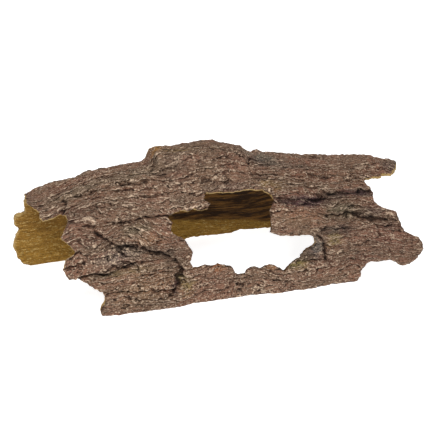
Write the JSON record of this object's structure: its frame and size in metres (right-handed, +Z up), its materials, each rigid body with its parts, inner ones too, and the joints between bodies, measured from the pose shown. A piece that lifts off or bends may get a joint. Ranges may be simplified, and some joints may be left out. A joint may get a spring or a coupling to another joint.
{
  "type": "piece of bark",
  "caption": "Curled piece of tree bark standing on its long edges as a low open tunnel, with ragged ends and a ragged window through the front wall.",
  "frame": {"origin": "bottom centre of the bounding box, on the surface that the bark stands on", "axes": "+X runs along the grain from the end whose back wall reaches furthest to the end with the pointed lobe, +Y from the front wall with the window to the closed back wall, +Z up to the crown"},
  "size_m": [0.289, 0.1106, 0.1],
  "materials": {
    "bark": "rough, dark brown with lighter tan ridges outside, ochre yellow inside"
  },
  "bodies": {
    "root": {"bark": "bark"}
  },
  "joints": []
}
